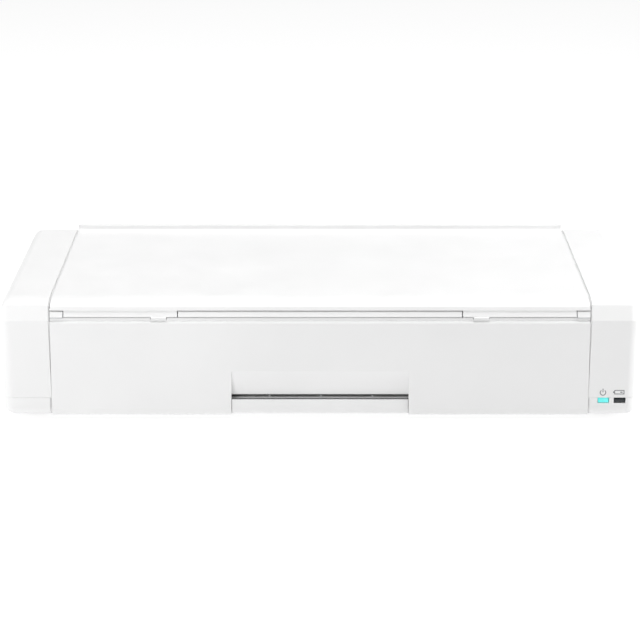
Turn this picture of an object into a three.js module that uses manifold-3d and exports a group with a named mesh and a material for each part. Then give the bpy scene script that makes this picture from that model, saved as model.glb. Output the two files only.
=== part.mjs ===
// A portable A4 inkjet printer, closed, in millimetres.
// X runs along the width, Y from the front to the rear and Z up from the table.
import * as THREE from "three";
import { mergeVertices } from "three/addons/utils/BufferGeometryUtils.js";
import Module from "manifold-3d";

const wasm = await Module();
wasm.setup();

// Casing
const HALF_WIDTH = 154.5;
const HALF_DEPTH = 77.5;
const BASE_Z = 1.8; // underside of the lower case, held up by the feet
const TOP_Z = 58.5; // top of the lid and of both side covers
const RIDGE_Z = 61; // top of the ridge along the lid's rear edge
const WALL = 2;
const PLAN_CORNER = 5;
const EDGE_ROUND = 4.5;
const SIDE_TAPER = 1.2; // each side stands this much further in at the bottom
const MIDDLE = 130.2; // half-width of the lid, the deck and the front cover
const SIDE_FROM = 131; // the side covers start here
const SEAM_Z = 11; // parting line between the lower case and the side covers
const GAP = 0.3;

// The top rolls down to a crease near the front, as [y, z], and a chamfer runs from there to the
// front face; the band under the lid's lip lies along the same chamfer.
const FRONT_ROLL = [
  [-63, TOP_Z],
  [-68, 58.2],
  [-71.3, 57.6],
  [-73.8, 56.7],
];
const CHAMFER_Z = 49.6;
const BAND_TOP = [-75, 53.6];
const BAND_BOTTOM = [-76.9, 50.7];

// Lid, hinged at the rear
const LID_AXIS = { y: 74.5, z: 55 };
const SKIRT_BOTTOM_Z = 49.2; // rear skirt of the lid
const REAR_COVER_TOP_Z = 48.8;
const LID_PIN_RADIUS = 1.5;
const TONGUE = { from: 68.8, to: 123.6 };
const TAB = { from: 74, to: 81.4 };
const EXTENSION_HALF = 68.4;
const LINER_Z = { from: 52.2, to: 53.8 };

// Front cover, hinged along its top edge
const COVER_AXIS = { y: -75.2, z: 47.8 };
const COVER_PIN_RADIUS = 0.9;
const COVER_BOTTOM_Z = 2;
const COVER_TOP_Z = 49.3;
const COVER_LIP_Z = 50.3; // a lip set back behind the cover's top edge
const SCOOP = { half: 43, top: 24.5, bottom: 11.9, depth: 2.9 };
const RIM_Z = 9.9; // top of the lower case's rim below the scoop

// Deck under the lid
const DECK = { front: -70.5, rear: 42, from: 48, to: 50 };
const BUTTON_TOP_Z = 51.3;
const BUTTONS = [
  ["power_button", -118, -60, 3.5, 0x5b6066],
  ["home_button", -116, -34, 3.2, 0x5b6066],
  ["up_button", -88, -35, 3.4, 0x5b6066],
  ["down_button", -88, -57, 3.4, 0x5b6066],
  ["left_button", -99, -46, 3.4, 0x5b6066],
  ["right_button", -77, -46, 3.4, 0x5b6066],
  ["ok_button", -88, -46, 4.2, 0x5b6066],
  ["stop_button", -4, -38, 4.2, 0xb8593f],
  ["start_button", 14, -46, 4.8, 0x4f8f5b],
];
const DISPLAY = { x0: -56, x1: -20, y0: -62, y1: -34 };
const INK_DOOR = { x0: 34, x1: 126, y0: -64, y1: 12 };

// Sheet feeder, its paper centred a little to the left
const PAPER_CENTRE = -4;
const PAPER_HALF = 105;
const GUIDE_PINION = { x: PAPER_CENTRE, y: 31, teeth: 10 };
const RACK_Z = { from: 44.4, to: 45.9 };
const RACK_BAR = 2.2; // depth of a rack's bar
const RACK_REACH = 6.3; // from the pinion's axis to a bar
const GUIDE_PLATE = { y0: 44, y1: 60 };
const FEED_ROLLER = { y: 48.2, z: 38.4, radius: 9 };
const CHUTE_SLOPE = 0.531; // how far the chute leans back for each millimetre up
const CHUTE_LEFT = -116;
const CHUTE_RIGHT = 108;
const HOPPER = { thick: 1.8, from: 21.5, to: 42.6 };
const SHELF_Z = { from: 18.8, to: 20.8 };

// Paper drive: module 1 gears at the left end
const GEAR_X = { from: -142, to: -138 };
const MAIN = { y: 12, z: 17, radius: 5, teeth: 23 };
const PINION = { y: 27.2, z: 14, teeth: 8 };
const IDLER = { y: -15.1, z: 27.7, teeth: 34 };
const EJECT = { y: -40, z: 18, radius: 4, teeth: 20 };
const PINCH = { y: 12, z: 25.1, radius: 2.8 };
const PLATEN = { x0: -112, x1: 102, from: 18, to: 21 };

// Carriage, parked at the right
const RAIL = { y0: 14, y1: 15.2, z0: 30, z1: 46 };
const CARRIAGE = { x0: 103, x1: 148, y0: -32, y1: 6, z0: 23.6 };
const BELT = { z: 39, y0: 6.9, y1: 12.7, left: -142, right: 142.5, radius: 4 };
const LEFT_PLATE_X = -137.2;
const RIGHT_PLATE_X = 149;
const PLATE = 1.2;

const COLOURS = {
  white: [0xf1f1ef, 0.45, 0],
  inner: [0xd9dadb, 0.6, 0],
  dark: [0x3a3d40, 0.55, 0],
  black: [0x1c1d1f, 0.5, 0],
  steel: [0xb4b8bc, 0.35, 1],
  rubber: [0x222324, 0.9, 0],
  gear: [0xe8e6dc, 0.5, 0],
  board: [0x1f6b45, 0.6, 0],
  glass: [0x101214, 0.1, 0],
  light: [0x6fe0d8, 0.3, 0],
  pad: [0x9a6a48, 0.95, 0],
};

// Solids ---------------------------------------------------------------------

function toSolid(geometry) {
  const bare = geometry.clone();
  bare.deleteAttribute("normal");
  bare.deleteAttribute("uv");
  const merged = mergeVertices(bare, 1e-4);
  return new wasm.Manifold(
    new wasm.Mesh({
      numProp: 3,
      vertProperties: new Float32Array(merged.attributes.position.array),
      triVerts: new Uint32Array(merged.index.array),
    }),
  );
}

function toGeometry(solid) {
  const mesh = solid.getMesh();
  return new THREE.BufferGeometry()
    .setAttribute("position", new THREE.BufferAttribute(mesh.vertProperties, 3))
    .setIndex(new THREE.BufferAttribute(mesh.triVerts, 1));
}

const join = (...solids) => solids.reduce((whole, piece) => whole.add(piece));
const cut = (solid, ...tools) =>
  tools.reduce((rest, tool) => rest.subtract(tool), solid);

function block(x0, x1, y0, y1, z0, z1) {
  const box = new THREE.BoxGeometry(x1 - x0, y1 - y0, z1 - z0);
  box.translate((x0 + x1) / 2, (y0 + y1) / 2, (z0 + z1) / 2);
  return toSolid(box);
}

// An outline of [y, z] points carried along X.
function profile(points, x0, x1) {
  const outline = new THREE.Shape(points.map(([y, z]) => new THREE.Vector2(y, z)));
  const bar = new THREE.ExtrudeGeometry(outline, { depth: x1 - x0, bevelEnabled: false });
  const alongX = new THREE.Matrix4().makeBasis(
    new THREE.Vector3(0, 1, 0),
    new THREE.Vector3(0, 0, 1),
    new THREE.Vector3(1, 0, 0),
  );
  bar.applyMatrix4(alongX);
  bar.translate(x0, 0, 0);
  return toSolid(bar);
}

// Round bars along each axis, from a to b.
function rodX(a, b, y, z, radius, sides = 16) {
  const rod = new THREE.CylinderGeometry(radius, radius, b - a, sides);
  rod.rotateZ(-Math.PI / 2);
  rod.translate((a + b) / 2, y, z);
  return toSolid(rod);
}

function rodY(a, b, x, z, radius, sides = 16) {
  const rod = new THREE.CylinderGeometry(radius, radius, b - a, sides);
  rod.translate(x, (a + b) / 2, z);
  return toSolid(rod);
}

function rodZ(a, b, x, y, radius, sides = 16) {
  const rod = new THREE.CylinderGeometry(radius, radius, b - a, sides);
  rod.rotateX(Math.PI / 2);
  rod.translate(x, y, (a + b) / 2);
  return toSolid(rod);
}

// The same shape on both sides of the printer.
const bothSides = (make) => join(...[-1, 1].map(make));
const span = (side, from, to) => (side < 0 ? [-to, -from] : [from, to]);

// The casing's outer shape, or the shape a given distance inside it.
function envelope(inset) {
  const halfX = HALF_WIDTH - inset;
  const halfY = HALF_DEPTH - inset;
  const corner = PLAN_CORNER - inset;
  const round = EDGE_ROUND - inset;
  const bottom = BASE_Z + inset;
  const top = TOP_Z - inset;
  const plan = new THREE.Shape();
  plan.moveTo(-halfX + corner, -halfY);
  plan.lineTo(halfX - corner, -halfY);
  plan.absarc(halfX - corner, -halfY + corner, corner, -Math.PI / 2, 0);
  plan.lineTo(halfX, halfY - corner);
  plan.absarc(halfX - corner, halfY - corner, corner, 0, Math.PI / 2);
  plan.lineTo(-halfX + corner, halfY);
  plan.absarc(-halfX + corner, halfY - corner, corner, Math.PI / 2, Math.PI);
  plan.lineTo(-halfX, -halfY + corner);
  plan.absarc(-halfX + corner, -halfY + corner, corner, Math.PI, Math.PI * 1.5);
  const body = new THREE.ExtrudeGeometry(plan, {
    depth: top - bottom - 2 * round,
    bevelSize: round,
    bevelThickness: round,
    bevelOffset: -round,
    bevelSegments: 5,
    curveSegments: 5,
  });
  body.translate(0, 0, bottom + round);
  const place = body.attributes.position;
  for (let i = 0; i < place.count; i++) {
    const lean = (SIDE_TAPER * (TOP_Z - place.getZ(i))) / (TOP_Z - BASE_Z);
    place.setX(i, place.getX(i) * (1 - lean / HALF_WIDTH));
  }
  return toSolid(body);
}

// A spur gear's outline of module 1; phase turns the first tooth from +X of the outline.
function gearShape(teeth, phase, bore) {
  const pitch = teeth / 2;
  const step = (2 * Math.PI) / teeth;
  const rim = [
    [-0.3, pitch - 1.1],
    [-0.12, pitch + 0.7],
    [0.12, pitch + 0.7],
    [0.3, pitch - 1.1],
  ];
  const points = [];
  for (let tooth = 0; tooth < teeth; tooth++) {
    for (const [share, radius] of rim) {
      const angle = phase + (tooth + share) * step;
      points.push(new THREE.Vector2(radius * Math.cos(angle), radius * Math.sin(angle)));
    }
  }
  const shape = new THREE.Shape(points);
  shape.holes.push(new THREE.Path().absarc(0, 0, bore, 0, 2 * Math.PI, true));
  return shape;
}

function gearAlongX(gear, phase, bore) {
  const wheel = new THREE.ExtrudeGeometry(gearShape(gear.teeth, phase, bore), {
    depth: GEAR_X.to - GEAR_X.from,
    bevelEnabled: false,
    curveSegments: 8,
  });
  wheel.applyMatrix4(
    new THREE.Matrix4().makeBasis(
      new THREE.Vector3(0, 1, 0),
      new THREE.Vector3(0, 0, 1),
      new THREE.Vector3(1, 0, 0),
    ),
  );
  wheel.translate(GEAR_X.from, gear.y, gear.z);
  return toSolid(wheel);
}

// The phase that lets the second gear mesh with the first.
function meshedPhase(first, firstPhase, second) {
  const towards = Math.atan2(second.z - first.z, second.y - first.y);
  const teethPast = ((towards - firstPhase) * first.teeth) / (2 * Math.PI);
  return towards + Math.PI - ((0.5 - teethPast) * 2 * Math.PI) / second.teeth;
}

// The scene graph --------------------------------------------------------------

const printer = new THREE.Group();
const materials = {};
for (const [name, [color, roughness, metalness]] of Object.entries(COLOURS)) {
  materials[name] = new THREE.MeshStandardMaterial({ color, roughness, metalness });
}

function add(name, solid, material, parent = printer) {
  const mesh = new THREE.Mesh(toGeometry(solid), material);
  mesh.name = name;
  parent.add(mesh);
  return mesh;
}

// Casing -----------------------------------------------------------------------

const FOOT = { x: 138, y: 62, radius: 6, top: 2.6 };
const MAINTENANCE = { x0: 32, x1: 116, z0: 5.5, z1: 17.5 };
const JACK = { y: -67, z: 7.6, radius: 2.75 };
const USB = { y0: -58.2, y1: -50.4, z0: 6.8, z1: 9.2 };
const LIGHTS = { status: [135, 140], battery: [142.8, 148] };
const LIGHT_Z = { from: 8.6, to: 10.8 };

function footCorners() {
  return [-1, 1].flatMap((side) => [-1, 1].map((end) => [side * FOOT.x, end * FOOT.y]));
}

function lowerCase() {
  const tray = cut(
    envelope(0),
    envelope(WALL),
    block(-160, 160, -80, 80, SEAM_Z, 70),
    block(-SIDE_FROM, SIDE_FROM, -80, -75.1, 0, 20),
  );
  const lip = profile(
    [
      [-74.5, 2.6],
      [-75.8, 2.6],
      [-76.7, 3.4],
      [-77, 4.6],
      [-77, RIM_Z],
      [-76, RIM_Z],
      [-76, RIM_Z - 2],
      [-74.5, RIM_Z - 2],
    ],
    -SCOOP.half + GAP,
    SCOOP.half - GAP,
  );
  const whole = join(
    tray,
    block(-SIDE_FROM, SIDE_FROM, -75.1, -73.1, 2.6, RIM_Z - 1),
    lip,
    block(-MIDDLE, MIDDLE, 75.5, HALF_DEPTH, SEAM_Z - 1, 20),
    bothSides((side) => block(...span(side, 120, 126), -74, -68, 3, 47.6)),
    block(70, 76, 73.4, 76, 18.2, 20),
  );
  const holes = [
    block(MAINTENANCE.x0 - GAP, MAINTENANCE.x1 + GAP, 73, 79, MAINTENANCE.z0 - GAP, MAINTENANCE.z1 + GAP),
    rodX(-158, -148, JACK.y, JACK.z, 3),
    block(-158, -148, USB.y0 - GAP, USB.y1 + GAP, USB.z0 - GAP, USB.z1 + GAP),
    ...Object.values(LIGHTS).map(([x0, x1]) =>
      block(x0 - GAP, x1 + GAP, -80, -74, LIGHT_Z.from - GAP, SEAM_Z + 1),
    ),
    ...footCorners().map(([x, y]) => rodZ(0, FOOT.top + GAP, x, y, FOOT.radius + GAP, 16)),
  ];
  return cut(whole, ...holes);
}

// What the chamfer and the roll take off the front of a side cover, or off the hollow inside it.
function aboveFrontRoll(inwards, down) {
  const line = [[-HALF_DEPTH, CHAMFER_Z], ...[...FRONT_ROLL].reverse()];
  const outline = line.map(([y, z]) => [y + inwards, z - down]);
  return profile([[-90, CHAMFER_Z - down], ...outline, [-63 + inwards, 70], [-90, 70]], -160, 160);
}

function sideCover(side) {
  const shell = cut(
    envelope(0),
    aboveFrontRoll(0, 0),
    block(-160, 160, -80, 80, 0, SEAM_Z + GAP),
    block(...span(side, -160, SIDE_FROM), -80, 80, 0, 70),
  );
  const hollow = cut(
    envelope(WALL),
    aboveFrontRoll(1.8, 0.9),
    block(...span(side, -160, SIDE_FROM + WALL), -80, 80, 0, 70),
  );
  // A ledge beside the lid, just below the surface, closes the gap between them.
  const ledgeLine = FRONT_ROLL.map(([y, z]) => [y + 0.6, z - 0.8]);
  const ledge = profile(
    [[-73.6, 54], [-70, 50], [75, 50], [76.3, 54], [75.8, TOP_Z - 0.9], ...ledgeLine],
    ...span(side, MIDDLE + 0.35, SIDE_FROM + 0.2),
  );
  const window = block(...span(side, 130, 134), -62, 58, 0, 48.4);
  const lidBore = rodX(...span(side, 130, 134), LID_AXIS.y, LID_AXIS.z, LID_PIN_RADIUS + GAP);
  const coverBore = rodX(...span(side, 130, 134), COVER_AXIS.y, COVER_AXIS.z, COVER_PIN_RADIUS + GAP);
  return cut(join(cut(shell, hollow), ledge), window, lidBore, coverBore);
}

function rearCover() {
  const outline = [
    [75.5, 20.3],
    [HALF_DEPTH, 20.3],
    [HALF_DEPTH, REAR_COVER_TOP_Z],
    [75.5, REAR_COVER_TOP_Z - 0.8],
  ];
  const ribs = [-100, 0, 100].map((x) => block(x - 1, x + 1, 74, 76, 20.3, 42));
  return join(profile(outline, -MIDDLE, MIDDLE), ...ribs);
}

// The plate with its rounded top and bottom, the finger scoop and the end lugs with their stub pins.
function frontCover() {
  const plate = profile(
    [
      [-75.5, 2.2],
      [-76.4, COVER_BOTTOM_Z],
      [-77.1, 2.9],
      [-HALF_DEPTH, 5.4],
      [-HALF_DEPTH, COVER_TOP_Z - 1.1],
      [-77.1, COVER_TOP_Z - 0.3],
      [-76.3, COVER_TOP_Z],
      [-76.3, COVER_LIP_Z],
      [-75.5, COVER_LIP_Z],
    ],
    -MIDDLE,
    MIDDLE,
  );
  const behind = -HALF_DEPTH + WALL;
  const backing = profile(
    [
      [behind - 0.5, SCOOP.bottom],
      [behind + SCOOP.depth, SCOOP.bottom],
      [behind, SCOOP.top],
      [behind - 0.5, SCOOP.top],
    ],
    -SCOOP.half - WALL,
    SCOOP.half + WALL,
  );
  const hollow = profile(
    [
      [-80, 0],
      [-70, 0],
      [-70, SCOOP.bottom],
      [-HALF_DEPTH + SCOOP.depth, SCOOP.bottom],
      [-HALF_DEPTH, SCOOP.top],
      [-80, SCOOP.top],
    ],
    -SCOOP.half,
    SCOOP.half,
  );
  const lugs = bothSides((side) => block(...span(side, 126, MIDDLE), -76, -73.7, 45.9, 49.2));
  const pins = bothSides((side) =>
    rodX(...span(side, 129, 132.7), COVER_AXIS.y, COVER_AXIS.z, COVER_PIN_RADIUS, 16),
  );
  const notches = bothSides((side) =>
    block(...span(side, TAB.from - GAP, TAB.to + GAP), -79, -73, COVER_TOP_Z - 0.4, 51),
  );
  return cut(join(plate, backing, lugs, pins), hollow, notches);
}

// Skin, ridge and rear skirt in one outline; tongues, tabs, side rims and hinge lugs are added.
function lidShell() {
  const skin = profile(
    [
      [75.7, SKIRT_BOTTOM_Z],
      [HALF_DEPTH, SKIRT_BOTTOM_Z],
      [HALF_DEPTH, 60.2],
      [76.8, RIDGE_Z],
      [74.5, RIDGE_Z],
      [74, TOP_Z],
      ...FRONT_ROLL,
      [-74.6, 55.9],
      [-75.4, 54.2],
      [-73.8, 54.2],
      [-72.6, 55.4],
      [-70, 56.1],
      [-66, 56.5],
      [75.7, 56.5],
    ],
    -MIDDLE,
    MIDDLE,
  );
  const tongueOutline = [
    [-75.1, 54.6],
    BAND_TOP,
    BAND_BOTTOM,
    [-74.6, 52.1],
    [-73.2, 52.3],
    [-73.2, 55.2],
  ];
  const tabOutline = [
    [-76.9, 51.1],
    [-77.1, 50.2],
    [-76.2, 50.2],
    [-75.2, 52],
  ];
  const tongues = bothSides((side) => profile(tongueOutline, ...span(side, TONGUE.from, TONGUE.to)));
  const tabs = bothSides((side) => profile(tabOutline, ...span(side, TAB.from, TAB.to)));
  const rims = bothSides((side) => block(...span(side, 128.7, MIDDLE), -69, 60, 50.6, 57));
  const lugs = bothSides((side) =>
    join(
      rodX(...span(side, 124, MIDDLE), LID_AXIS.y, LID_AXIS.z, 3),
      block(...span(side, 124, MIDDLE), LID_AXIS.y - 3, 76.5, LID_AXIS.z, 57),
    ),
  );
  const bores = bothSides((side) =>
    rodX(...span(side, 123, 131), LID_AXIS.y, LID_AXIS.z, LID_PIN_RADIUS + GAP),
  );
  return cut(join(skin, tongues, tabs, rims, lugs), bores);
}

function lidLiner() {
  const panel = block(-128.2, 128.2, -72.6, 66, LINER_Z.from, LINER_Z.to);
  const ribs = bothSides((side) =>
    join(...[82, 100, 118].map((x) => block(...span(side, x, x + 1.5), -60, 58, 53.5, 56.2))),
  );
  const slot = block(-EXTENSION_HALF - 0.7, EXTENSION_HALF + 0.7, -80, 45, 50, 55);
  const corners = bothSides((side) => block(...span(side, 123, 130), -80, -68, 50, 55));
  return cut(join(panel, ribs), slot, corners);
}

// The plate that slides out of the lid; its front end is the middle of the band under the lip.
function supportExtension() {
  const plate = profile(
    [
      BAND_BOTTOM,
      [-74.6, 52.1],
      [-72, LINER_Z.from],
      [42, LINER_Z.from],
      [42, 54],
      [-72, 54],
      BAND_TOP,
    ],
    -EXTENSION_HALF,
    EXTENSION_HALF,
  );
  const web = block(-EXTENSION_HALF, EXTENSION_HALF, -34, 42, 53.5, 55.9);
  const runners = block(-EXTENSION_HALF - 3, EXTENSION_HALF + 3, -34, 42, 54.1, 55.9);
  return join(plate, web, runners);
}

// Deck and controls --------------------------------------------------------------

// An opening with a ledge around its lower edge, which carries a plate.
function ledgedOpening(area, ledge) {
  return join(
    block(area.x0 - GAP, area.x1 + GAP, area.y0 - GAP, area.y1 + GAP, 48.6, 52),
    block(area.x0 + ledge, area.x1 - ledge, area.y0 + ledge, area.y1 - ledge, 45, 49),
  );
}

function controlDeck() {
  const plate = block(-MIDDLE, MIDDLE, DECK.front, DECK.rear, DECK.from, DECK.to);
  const fascia = block(-118, 118, DECK.front, DECK.front + 1.8, 36, DECK.from + 1);
  const cornerOutline = [
    BAND_BOTTOM,
    [-74.6, 52.1],
    [-72.2, 52.1],
    [DECK.front, 51],
    [DECK.front, DECK.from],
    [-68.5, DECK.from],
    [-68.5, 52],
    [-70.5, 53.6],
    BAND_TOP,
  ];
  const cornerFront = [
    BAND_BOTTOM,
    [-74.6, 52.1],
    [-70.6, 52.5],
    [-70.6, 53.6],
    BAND_TOP,
  ];
  const corners = bothSides((side) =>
    join(
      profile(cornerOutline, ...span(side, TONGUE.to + GAP, MIDDLE - 1.8)),
      profile(cornerFront, ...span(side, MIDDLE - 2, MIDDLE - 0.1)),
    ),
  );
  const pinionAxle = rodZ(44.2, DECK.from + 1, GUIDE_PINION.x, GUIDE_PINION.y, 1.6, 12);
  const holes = BUTTONS.map(([, x, y, radius]) => rodZ(40, 55, x, y, radius + GAP));
  return cut(
    join(plate, fascia, corners, pinionAxle),
    ...holes,
    ledgedOpening(DISPLAY, 3),
    ledgedOpening(INK_DOOR, 2),
  );
}

function inkDoor() {
  const plate = block(INK_DOOR.x0, INK_DOOR.x1, INK_DOOR.y0, INK_DOOR.y1, 48.9, DECK.to);
  const fingerDip = block(74, 86, INK_DOOR.y0 - 1, INK_DOOR.y0 + 4, 49.5, 51);
  return cut(plate, fingerDip);
}

// A cap with a flange that the deck holds down.
function button(radius) {
  const outline = [
    [0, 46.6],
    [radius + 1.2, 46.6],
    [radius + 1.2, 47.6],
    [radius, 47.6],
    [radius, BUTTON_TOP_Z - 0.4],
    [radius - 0.4, BUTTON_TOP_Z],
    [0, BUTTON_TOP_Z],
  ].map(([r, z]) => new THREE.Vector2(r, z));
  const cap = new THREE.LatheGeometry(outline, 16);
  cap.rotateX(Math.PI / 2);
  return toSolid(cap);
}

// Sheet feeder --------------------------------------------------------------------

const hopperFront = (z) => 40.8 + CHUTE_SLOPE * z;

function feederChute() {
  const backFront = (z) => hopperFront(z) + HOPPER.thick + 1.5;
  const back = profile(
    [
      [backFront(SHELF_Z.from), SHELF_Z.from],
      [backFront(SHELF_Z.from) + WALL, SHELF_Z.from],
      [backFront(HOPPER.to) + WALL, HOPPER.to],
      [backFront(HOPPER.to), HOPPER.to],
    ],
    CHUTE_LEFT,
    CHUTE_RIGHT,
  );
  const shelf = block(CHUTE_LEFT, CHUTE_RIGHT, 20, backFront(SHELF_Z.from) + 1, SHELF_Z.from, SHELF_Z.to);
  const cheek = [
    [20, SHELF_Z.from],
    [55, SHELF_Z.from],
    [68, 42.6],
    [60.5, 43],
    [56, 47.5],
    [42.6, 47.5],
    [38, 30],
    [20, 24],
  ];
  const cheeks = [CHUTE_LEFT, CHUTE_RIGHT - WALL].map((x) => profile(cheek, x, x + WALL));
  const shaftBore = rodX(CHUTE_LEFT - 1, CHUTE_RIGHT + 1, FEED_ROLLER.y, FEED_ROLLER.z, 2.8);
  return cut(join(back, shelf, ...cheeks), shaftBore);
}

function hopperPlate() {
  const outline = [
    [hopperFront(HOPPER.from), HOPPER.from],
    [hopperFront(HOPPER.from) + HOPPER.thick, HOPPER.from],
    [hopperFront(HOPPER.to) + HOPPER.thick, HOPPER.to],
    [hopperFront(HOPPER.to), HOPPER.to],
  ];
  return profile(outline, PAPER_CENTRE - 108, PAPER_CENTRE + 108);
}

function feedRoller() {
  const shaft = rodX(-122, 112, FEED_ROLLER.y, FEED_ROLLER.z, 2.5, 12);
  const tyre = rodX(-19, 11, FEED_ROLLER.y, FEED_ROLLER.z, FEED_ROLLER.radius, 28);
  const collars = [-90, 80].map((x) => rodX(x, x + 8, FEED_ROLLER.y, FEED_ROLLER.z, 4, 16));
  return join(shaft, tyre, ...collars);
}

// A row of module 1 rack teeth on the side of a bar that faces the pinion.
function rackTeeth(barY, side, phaseX) {
  const teeth = [];
  const step = Math.PI;
  const tip = barY + side * 1.9;
  for (let tooth = -2; tooth <= 20; tooth++) {
    const x = phaseX + tooth * step;
    const outline = new THREE.Shape(
      [
        [x - 0.95, barY - side * 0.3],
        [x + 0.95, barY - side * 0.3],
        [x + 0.4, tip],
        [x - 0.4, tip],
      ].map(([px, py]) => new THREE.Vector2(px, py)),
    );
    const shape = new THREE.ExtrudeGeometry(outline, {
      depth: RACK_Z.to - RACK_Z.from,
      bevelEnabled: false,
    });
    shape.translate(0, 0, RACK_Z.from);
    teeth.push(toSolid(shape));
  }
  return join(...teeth);
}

// Each guide is a plate beside the paper and a rack bar that runs past the pinion.
function leftGuide() {
  const plateX = PAPER_CENTRE - PAPER_HALF - 3.5;
  const bar = GUIDE_PINION.y + RACK_REACH;
  return join(
    block(plateX, plateX + 3, GUIDE_PLATE.y0, GUIDE_PLATE.y1, 42.9, 51),
    block(plateX, plateX + 3, bar, GUIDE_PLATE.y0 + 1, RACK_Z.from, RACK_Z.to),
    block(plateX, 4, bar, bar + RACK_BAR, RACK_Z.from, RACK_Z.to),
    rackTeeth(bar, -1, GUIDE_PINION.x - 18 * Math.PI),
  );
}

function rightGuide() {
  const plateX = PAPER_CENTRE + PAPER_HALF + 0.5;
  const bar = GUIDE_PINION.y - RACK_REACH;
  return join(
    block(plateX, plateX + 3, GUIDE_PLATE.y0, GUIDE_PLATE.y1, 42.9, 51),
    block(plateX, plateX + 3, bar - RACK_BAR, GUIDE_PLATE.y0 + 1, 46.2, 47.6),
    block(plateX, plateX + 3, bar - RACK_BAR, bar, RACK_Z.from, 47),
    block(-12, plateX + 3, bar - RACK_BAR, bar, RACK_Z.from, RACK_Z.to),
    rackTeeth(bar, 1, GUIDE_PINION.x),
  );
}

function guidePinion() {
  const wheel = new THREE.ExtrudeGeometry(gearShape(GUIDE_PINION.teeth, 0, 1.9), {
    depth: RACK_Z.to - RACK_Z.from,
    bevelEnabled: false,
    curveSegments: 8,
  });
  wheel.translate(GUIDE_PINION.x, GUIDE_PINION.y, RACK_Z.from);
  return toSolid(wheel);
}

// Chassis and paper drive -----------------------------------------------------------

const PINCH_SPANS = [
  [-108, -12],
  [4, 98],
];

function mainFrame() {
  const rail = block(-149, RIGHT_PLATE_X + PLATE, RAIL.y0, RAIL.y1, RAIL.z0, RAIL.z1);
  const leftPlate = profile(
    [
      [-46, 6],
      [31, 6],
      [31, 25],
      [RAIL.y1, 31],
      [RAIL.y1, RAIL.z1],
      [-30, RAIL.z1],
      [-46, 30],
    ],
    LEFT_PLATE_X,
    LEFT_PLATE_X + PLATE,
  );
  const rightPlate = block(RIGHT_PLATE_X, RIGHT_PLATE_X + PLATE, -46, RAIL.y1, 6.8, RAIL.z1);
  const pinchBrackets = PINCH_SPANS.flat().map((x) => {
    const start = x === PINCH_SPANS[0][0] || x === PINCH_SPANS[1][0] ? x - 1.6 : x + 0.4;
    return block(start, start + PLATE, 9, RAIL.y1, 22.6, RAIL.z0 + 1);
  });
  const idlerStud = rodX(LEFT_PLATE_X - 5.2, LEFT_PLATE_X + 0.6, IDLER.y, IDLER.z, 2);
  const pulleyStud = rodY(6.6, RAIL.y0 + 0.6, BELT.right, BELT.z, 1.3, 12);
  const plateEnd = LEFT_PLATE_X + PLATE + 1;
  return cut(
    join(rail, leftPlate, rightPlate, ...pinchBrackets, idlerStud, pulleyStud),
    block(LEFT_PLATE_X - 1, plateEnd, 6.2, RAIL.y0, 33.3, 44.7),
    rodX(LEFT_PLATE_X - 1, plateEnd, MAIN.y, MAIN.z, 3.4),
    rodX(LEFT_PLATE_X - 1, plateEnd, EJECT.y, EJECT.z, 1.9),
    rodX(LEFT_PLATE_X - 1, plateEnd, PINION.y, PINION.z, 2),
    rodX(RIGHT_PLATE_X - 1, RIGHT_PLATE_X + 2, MAIN.y, MAIN.z, 3.4),
    rodX(RIGHT_PLATE_X - 1, RIGHT_PLATE_X + 2, EJECT.y, EJECT.z, 1.9),
    rodY(RAIL.y0 - 1, RAIL.y1 + 1, BELT.left, BELT.z, 1.5, 12),
    rodX(-112, 100, PINCH.y, PINCH.z, 1.4, 12),
  );
}

function platen() {
  const plate = block(PLATEN.x0, PLATEN.x1, -72, 5.5, PLATEN.from, PLATEN.to);
  const rollerWindow = block(PLATEN.x0 + 4, PLATEN.x1 - 4, -46, -34, 10, 30);
  const ribs = [];
  for (let x = PLATEN.x0 + 7; x < PLATEN.x1 - 4; x += 20) {
    ribs.push(block(x, x + 1.5, -31, 2, PLATEN.to - 0.5, 21.7));
  }
  const legs = [PLATEN.x0, PLATEN.x1 - 3].map((x) => block(x, x + 3, -30, 2, 4.1, 19));
  const shaftBore = rodX(PLATEN.x0 - 1, PLATEN.x1 + 1, EJECT.y, EJECT.z, 1.9, 12);
  return cut(join(plate, ...ribs, ...legs), rollerWindow, shaftBore);
}

function mainRoller() {
  return join(
    rodX(-143, 150.8, MAIN.y, MAIN.z, 3, 16),
    rodX(PAPER_CENTRE - 107, PAPER_CENTRE + 107, MAIN.y, MAIN.z, MAIN.radius, 24),
  );
}

function ejectRoller(phase) {
  const wheels = [];
  for (let x = PLATEN.x0 + 12; x < PLATEN.x1 - 12; x += 36) {
    wheels.push(rodX(x, x + 8, EJECT.y, EJECT.z, EJECT.radius, 16));
  }
  const shaft = rodX(-143, 150.8, EJECT.y, EJECT.z, 1.5, 10);
  return join(shaft, gearAlongX(EJECT, phase, 1.2), ...wheels);
}

function pinchRoller([x0, x1]) {
  return join(
    rodX(x0, x1, PINCH.y, PINCH.z, PINCH.radius, 16),
    rodX(x0 - 2, x1 + 2, PINCH.y, PINCH.z, 1, 10),
  );
}

function feedMotor() {
  const face = LEFT_PLATE_X + PLATE + GAP;
  return join(
    rodX(face, face + 19, PINION.y, PINION.z, 9, 24),
    rodX(-143, face + 1, PINION.y, PINION.z, 1, 10),
  );
}

// Carriage ----------------------------------------------------------------------------

const POCKET = { x0: 104.5, x1: 146.5, y0: -30.5, y1: 3.5, z0: 26.6 };

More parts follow.
